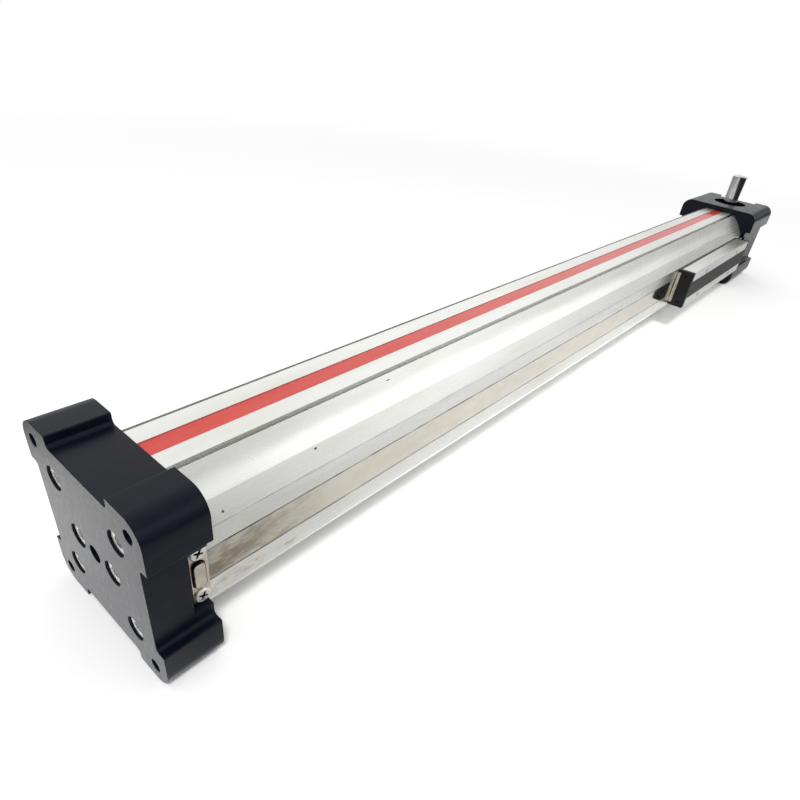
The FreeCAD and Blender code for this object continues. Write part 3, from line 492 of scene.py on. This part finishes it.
# a helical ridge at each point, for a tapped hole along the turned Z axis
def threadTree():
    tree, given = newTree("tappedThread", {
        "Radius": "Float", "Rise": "Float", "Pitch": "Float", "Depth": "Float", "Turn": "Vector",
        "Material": "Material"})
    turns = addNode(tree, "ShaderNodeMath", {"operation": "DIVIDE"},
                    links={0: given["Depth"], 1: given["Pitch"]})
    helix = addNode(tree, "GeometryNodeCurveSpiral", None, {"Resolution": threadSizes["turnSteps"]},
                    {"Rotations": turns.outputs[0], "Start Radius": given["Radius"],
                     "End Radius": given["Radius"], "Height": given["Depth"]})
    ridge = addNode(tree, "GeometryNodeCurvePrimitiveCircle", None, {"Resolution": threadSizes["ridgeSides"]},
                    {"Radius": given["Rise"]})
    thread = addNode(tree, "GeometryNodeCurveToMesh", None, {"Fill Caps": True},
                     {"Curve": helix.outputs[0], "Profile Curve": ridge.outputs[0]})
    turn = addNode(tree, "FunctionNodeEulerToRotation", links={0: given["Turn"]})
    holes = addNode(tree, "GeometryNodeInstanceOnPoints",
                    links={"Points": given["Geometry"], "Instance": thread.outputs[0],
                           "Rotation": turn.outputs[0]})
    closeTree(tree, holes.outputs[0], given["Material"])
    return tree


def makeThreads():
    tree = threadTree()
    mounts = {mount["name"]: mount for mount in frame["record"]["mounts"]}
    turns = {
        "idle_end_holes": (0, pi / 2, 0),
        "drive_end_holes": (0, -pi / 2, 0),
        "carriage_holes": (-pi / 2, 0, 0),
    }
    for name, turn in turns.items():
        mount = mounts[name]
        outward = Vector(mount["axis"])
        middle = Vector(mount["pos_m"]) - outward * threadSizes["inset"] / 1000
        carriage = name == "carriage_holes"
        first = mount["dims"]["spacing_x_mm"] / 2000
        second = mount["dims"]["spacing_y_mm"] / 2000
        along = Vector((1, 0, 0)) if carriage else Vector((0, 1, 0))
        up = Vector((0, 0, 1))
        points = [middle + along * a * first + up * b * second for a in (-1, 1) for b in (-1, 1)]
        depth = threadSizes["carriageDepth" if carriage else "capDepth"] / 1000
        sizes = {"Radius": mount["dims"]["hole_r_mm"] / 1000, "Rise": threadSizes["rise"] / 1000,
                 "Pitch": threadSizes["pitch"] / 1000, "Depth": depth, "Turn": turn}
        slot = "anodised_aluminium" if carriage else "black_anodised"
        piece = growPiece(name.replace("holes", "threads"), tree, sizes, points, [], slot)
        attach(piece, "carriage" if carriage else "base")


makeThreads()
print("threads cut")


# a toothed belt along a path: its body if wanted, and a tooth at each pitch on the right side of the path
def beltTree():
    tree, given = newTree("toothedBelt", {
        "Body": "Bool", "Width": "Float", "Thickness": "Float", "Pitch": "Float", "Teeth": "Int",
        "Tooth Height": "Float", "Tooth Root": "Float", "Tooth Tip": "Float", "Tooth Middle": "Float",
        "Material": "Material"})
    path = addNode(tree, "GeometryNodeMeshToCurve", links={0: given["Geometry"]}).outputs[0]
    wanted = addNode(tree, "GeometryNodeSwitch", {"input_type": "GEOMETRY"},
                     links={"Switch": given["Body"], "True": sweepStrip(tree, given, path)})
    count = addNode(tree, "GeometryNodeInputIndex")
    half = addNode(tree, "ShaderNodeMath", {"operation": "ADD"}, {1: 0.5}, {0: count.outputs[0]})
    distance = addNode(tree, "ShaderNodeMath", {"operation": "MULTIPLY"},
                       links={0: half.outputs[0], 1: given["Pitch"]})
    at = addNode(tree, "GeometryNodeSampleCurve", {"mode": "LENGTH", "use_all_curves": True},
                 links={"Curves": path, "Length": distance.outputs[0]})
    places = addNode(tree, "GeometryNodePoints",
                     links={"Count": given["Teeth"], "Position": at.outputs["Position"]})
    edges = {}
    for end, share in (("Start", -0.5), ("End", 0.5)):
        level = addNode(tree, "ShaderNodeMath", {"operation": "MULTIPLY"}, {1: share}, {0: given["Width"]})
        edge = addNode(tree, "ShaderNodeCombineXYZ",
                       links={"Y": given["Tooth Middle"], "Z": level.outputs[0]})
        edges[end] = edge.outputs[0]
    spine = addNode(tree, "GeometryNodeCurvePrimitiveLine", links=edges)
    flank = addNode(tree, "GeometryNodeCurvePrimitiveQuadrilateral", {"mode": "TRAPEZOID"}, {"Offset": 0.0},
                    {"Height": given["Tooth Height"], "Bottom Width": given["Tooth Tip"],
                     "Top Width": given["Tooth Root"]})
    tooth = addNode(tree, "GeometryNodeCurveToMesh", None, {"Fill Caps": True},
                    {"Curve": spine.outputs[0], "Profile Curve": flank.outputs[0]})
    turn = addNode(tree, "FunctionNodeAxesToRotation", {"primary_axis": "Z", "secondary_axis": "X"},
                   {"Primary Axis": (0, 0, 1)}, {"Secondary Axis": at.outputs["Tangent"]})
    teeth = addNode(tree, "GeometryNodeInstanceOnPoints",
                    links={"Points": places.outputs[0], "Instance": tooth.outputs[0],
                           "Rotation": turn.outputs[0]})
    both = addNode(tree, "GeometryNodeJoinGeometry", links={0: wanted.outputs[0]})
    tree.links.new(teeth.outputs[0], both.inputs[0])
    closeTree(tree, both.outputs[0], given["Material"])
    return tree


# toothed belt: a loop round both pulleys that stays, two ends clamped in the slider that move with it, and
# the free runs between; lengths in millimetres, ends and tails counted in teeth
beltSizes = {"pitch": 5.0, "thickness": 1.0, "toothHeight": 1.2, "toothRoot": 2.65, "toothTip": 1.8,
             "toothSink": 0.1, "clampTeeth": 9, "nearTooth": 36, "farTooth": 19, "endTeeth": 11,
             "tailTeeth": 1.5, "arcSteps": 24}


def makeBelt():
    low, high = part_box("toothed_belt")
    lengths = ("pitch", "thickness", "toothHeight", "toothRoot", "toothTip", "toothSink")
    pitch, thickness, height, root, tip, sink = (beltSizes[name] / 1000 for name in lengths)
    radius = high[1] - thickness / 2
    shaft, idler = high[0] - high[1], low[0] + high[1]
    tail, end = beltSizes["tailTeeth"] * pitch, beltSizes["endTeeth"] * pitch
    nearEnd = shaft - (beltSizes["nearTooth"] - 0.5) * pitch
    farEnd = shaft - (beltSizes["farTooth"] + beltSizes["clampTeeth"] - 0.5) * pitch
    nearFree = [(nearEnd - end, -radius, 0), (idler + tail, -radius, 0)]
    farFree = [(shaft - tail, -radius, 0), (farEnd + end, -radius, 0)]
    ends = [(nearEnd, -radius, 0), nearFree[0], farFree[1], (farEnd, -radius, 0)]
    steps = [pi * i / beltSizes["arcSteps"] for i in range(beltSizes["arcSteps"] + 1)]
    loop = [nearFree[1]]
    loop += [(idler - radius * sin(t), -radius * cos(t), 0) for t in steps]
    loop += [(shaft + radius * sin(t), radius * cos(t), 0) for t in steps]
    loop += [farFree[0]]
    loopCount = round((shaft - idler + 2 * pi * radius + 2 * tail) / pitch)
    nearCount = round((nearFree[0][0] - nearFree[1][0]) / pitch)
    farCount = round((farFree[0][0] - farFree[1][0]) / pitch)
    runs = {
        "beltLoop": (loop, chain(len(loop)), loopCount, True),
        "beltEnds": (ends, [(0, 1), (2, 3)], 2 * beltSizes["endTeeth"], True),
        "beltNear": (nearFree, chain(2), 0, True),
        "beltNearTeeth": (nearFree, chain(2), nearCount, False),
        "beltFar": (farFree, chain(2), farCount, True),
    }
    tree = beltTree()
    belts = {}
    for name, (points, edges, teeth, body) in runs.items():
        sizes = {"Body": body, "Width": high[2] - low[2], "Thickness": thickness, "Pitch": pitch,
                 "Teeth": teeth, "Tooth Height": height + sink, "Tooth Root": root, "Tooth Tip": tip,
                 "Tooth Middle": (sink - thickness - height) / 2}
        belts[name] = growPiece(name, tree, sizes, points, edges, "belt_rubber")
        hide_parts("toothed_belt")
    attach(belts["beltLoop"], "base")
    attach(belts["beltEnds"], "carriage")
    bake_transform(belts["beltNear"])
    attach(belts["beltNearTeeth"], "base")
    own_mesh(belts["beltNearTeeth"])
    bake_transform(belts["beltFar"])


makeBelt()
print("belt laid")


# a level read off a list of places in rising order and their levels
def levels(tree, source, stops):
    first, last = stops[0][0], stops[-1][0]
    share = addNode(tree, "ShaderNodeMapRange", None,
                    {"From Min": first, "From Max": last}, {"Value": source})
    ramp = addNode(tree, "ShaderNodeValToRGB", links={"Fac": share.outputs["Result"]})
    marks = ramp.color_ramp.elements
    while len(marks) < len(stops):
        marks.new(0.5)
    for mark, (place, level) in zip(marks, stops):
        mark.position = (place - first) / (last - first)
        mark.color = grey(level / topLevel)
    return addNode(tree, "ShaderNodeMath", {"operation": "MULTIPLY"},
                   {1: topLevel}, {0: ramp.outputs["Color"]}).outputs[0]


# floor: white to the camera with the object's shadow on it, and in the metal's reflections a card that is
# paler or darker across Y and along X, in metres, with a bright patch by the idle cap; bright, middle and
# reach in millimetres
floorLook = {
    "size": 30.0, "height": -0.0435, "albedo": 0.8, "toCamera": 1.25,
    "middle": (420, 0, -43.5), "reach": (1250, 1250, 1250),
    "across": [(-1.2, 0.03), (-0.45, 0.03), (-0.25, 0.85), (-0.06, 0.92), (-0.025, 2.0), (0.02, 1.6),
               (0.05, 0.85), (0.25, 0.8), (0.5, 0.5), (1.2, 0.45)],
    "along": [(-0.3, 0.6), (0.08, 0.75), (0.14, 0.95), (0.27, 1.12), (0.5, 1.16), (0.8, 0.9), (1.0, 0.8),
              (1.2, 1.5), (1.42, 1.5), (1.6, 0.4), (2.2, 0.3)],
    "bright": ((-15, 45, -43.5), (70, 170, 10)), "shine": 1.85,
}


def makeFloor():
    half = floorLook["size"] / 2
    square = ((-half, -half), (half, -half), (half, half), (-half, half))
    corners = [(x, y, floorLook["height"]) for x, y in square]
    mesh = bpy.data.meshes.new("floor")
    mesh.from_pydata(corners, [], [(0, 1, 2, 3)])
    floor = bpy.data.objects.new("floor", mesh)
    bpy.context.scene.collection.objects.link(floor)
    material = bpy.data.materials.new("card_pale_matt")
    material.use_nodes = True
    tree = material.node_tree
    tree.nodes.clear()
    rays = addNode(tree, "ShaderNodeLightPath").outputs
    place = addNode(tree, "ShaderNodeTexCoord")
    axes = addNode(tree, "ShaderNodeSeparateXYZ", links={0: place.outputs["Object"]})
    toned = addNode(tree, "ShaderNodeMath", {"operation": "MULTIPLY"},
                    links={0: levels(tree, axes.outputs["Y"], floorLook["across"]),
                           1: levels(tree, axes.outputs["X"], floorLook["along"])})
    patch = addNode(tree, "ShaderNodeMath", {"operation": "MULTIPLY"},
                    {1: floorLook["shine"]}, {0: spot(tree, *floorLook["bright"])})
    mirrored = addNode(tree, "ShaderNodeMix", {"data_type": "RGBA"}, {6: grey(floorLook["albedo"])},
                       {0: rays["Is Glossy Ray"], 7: strongest(tree, [toned.outputs[0], patch.outputs[0]])})
    tone = addNode(tree, "ShaderNodeMix", {"data_type": "RGBA"}, {7: grey(floorLook["toCamera"])},
                   {0: rays["Is Camera Ray"], 6: mirrored.outputs[2]})
    card = addNode(tree, "ShaderNodeBsdfDiffuse", links={"Color": tone.outputs[2]})
    # far from the part the camera sees white paper, so that the floor meets the background without a line
    paper = addNode(tree, "ShaderNodeEmission", None, {"Color": grey(1), "Strength": 1.0})
    away = addNode(tree, "ShaderNodeMath", {"operation": "SUBTRACT"}, {0: 1.0},
                   {1: spot(tree, floorLook["middle"], floorLook["reach"])})
    seen = addNode(tree, "ShaderNodeMath", {"operation": "MULTIPLY"},
                   links={0: rays["Is Camera Ray"], 1: away.outputs[0]})
    both = addNode(tree, "ShaderNodeMixShader",
                   links={0: seen.outputs[0], 1: card.outputs["BSDF"], 2: paper.outputs["Emission"]})
    addNode(tree, "ShaderNodeOutputMaterial", links={"Surface": both.outputs[0]})
    mesh.materials.append(material)


makeFloor()

# studio round the part: white to the camera, even for soft light, and in reflections banded by the angle
# round the barrel's axis, in degrees from the slot side up over the top; the level also changes with the X
# part of a ray's direction, by one list in front and by another over the top, which meet in the turn
skyLook = {
    "even": 0.55,
    "bands": [(-180, 0.9), (-90, 0.6), (0, 0.6), (18, 0.7), (28, 1.78), (44, 1.55), (54, 0.95), (75, 0.95),
              (110, 1.1), (180, 1.1)],
    "front": [(0.0, 0.6), (0.45, 0.69), (0.6, 1.24), (0.72, 1.46), (0.79, 1.23), (0.87, 1.08), (0.92, 0.66),
              (0.94, 0.39), (0.956, 0.21), (1.0, 0.1)],
    "top": [(0.0, 1.0), (0.54, 1.05), (0.73, 1.15), (0.83, 1.1), (0.885, 1.0), (0.918, 0.9), (0.94, 0.77),
            (1.0, 0.7)],
    "turn": (75, 110),
}


def makeSky():
    world = bpy.data.worlds.new("studio")
    bpy.context.scene.world = world
    world.use_nodes = True
    tree = world.node_tree
    tree.nodes.clear()
    rays = addNode(tree, "ShaderNodeLightPath").outputs
    way = addNode(tree, "ShaderNodeTexCoord")
    axes = addNode(tree, "ShaderNodeSeparateXYZ", links={0: way.outputs["Generated"]})
    front = addNode(tree, "ShaderNodeMath", {"operation": "MULTIPLY"}, {1: -1.0}, {0: axes.outputs["Y"]})
    angle = addNode(tree, "ShaderNodeMath", {"operation": "ARCTAN2"},
                    links={0: axes.outputs["Z"], 1: front.outputs[0]}).outputs[0]
    bands = levels(tree, angle, [(radians(turn), level) for turn, level in skyLook["bands"]])
    start, end = (radians(turn) for turn in skyLook["turn"])
    over = addNode(tree, "ShaderNodeMapRange", None, {"From Min": start, "From Max": end}, {"Value": angle})
    along = addNode(tree, "ShaderNodeMix", {"data_type": "FLOAT"},
                    links={0: over.outputs["Result"], 2: levels(tree, axes.outputs["X"], skyLook["front"]),
                           3: levels(tree, axes.outputs["X"], skyLook["top"])})
    strength = addNode(tree, "ShaderNodeMath", {"operation": "MULTIPLY"},
                       links={0: bands, 1: along.outputs[0]})
    banded = addNode(tree, "ShaderNodeBackground", None,
                     {"Color": grey(1)}, {"Strength": strength.outputs[0]})
    even = addNode(tree, "ShaderNodeBackground", None, {"Color": grey(1), "Strength": skyLook["even"]})
    white = addNode(tree, "ShaderNodeBackground", None, {"Color": grey(1), "Strength": 1.0})
    soft = addNode(tree, "ShaderNodeMixShader",
                   links={0: rays["Is Glossy Ray"], 1: even.outputs[0], 2: banded.outputs[0]})
    seen = addNode(tree, "ShaderNodeMixShader",
                   links={0: rays["Is Camera Ray"], 1: soft.outputs[0], 2: white.outputs[0]})
    addNode(tree, "ShaderNodeOutputWorld", links={"Surface": seen.outputs[0]})


makeSky()

# one soft lamp high over the idle end and the slot side, so that most of the shadow falls behind the part
lampLook = {"place": (-0.8, -1.1, 2.5), "aim": (0.3, 0.0, 0.0), "size": 0.5, "power": 37.0}


def makeLamp():
    data = bpy.data.lights.new("softLamp", "AREA")
    data.shape = "SQUARE"
    data.size = lampLook["size"]
    data.energy = lampLook["power"]
    lamp = bpy.data.objects.new("softLamp", data)
    bpy.context.scene.collection.objects.link(lamp)
    lamp.location = lampLook["place"]
    lamp.rotation_euler = (Vector(lampLook["aim"]) - lamp.location).to_track_quat("-Z", "Y").to_euler()
    lamp.visible_glossy = False


makeLamp()

# camera at the photograph's angle
cameraLook = {
    "position": (-0.05391, -0.18151, 0.18185),
    "forward": (0.6728, 0.48884, -0.55531),
    "right": (0.6441, -0.75631, 0.1146),
    "sensor": 36.0,
    "lens": 26.366,
    "shift": (-0.01875, 0.02636),
    "nearest": 0.01,
}


def makeCamera():
    data = bpy.data.cameras.new("camera")
    data.sensor_width = cameraLook["sensor"]
    data.lens = cameraLook["lens"]
    data.shift_x, data.shift_y = cameraLook["shift"]
    data.clip_start = cameraLook["nearest"]
    camera = bpy.data.objects.new("camera", data)
    bpy.context.scene.collection.objects.link(camera)
    back = -Vector(cameraLook["forward"]).normalized()
    right = Vector(cameraLook["right"]).normalized()
    up = back.cross(right)
    turn = Matrix((right, up, back)).transposed().to_4x4()
    camera.matrix_world = Matrix.Translation(cameraLook["position"]) @ turn
    bpy.context.scene.camera = camera


makeCamera()
bpy.context.scene.view_settings.view_transform = "Standard"
print("stage, light and camera set")
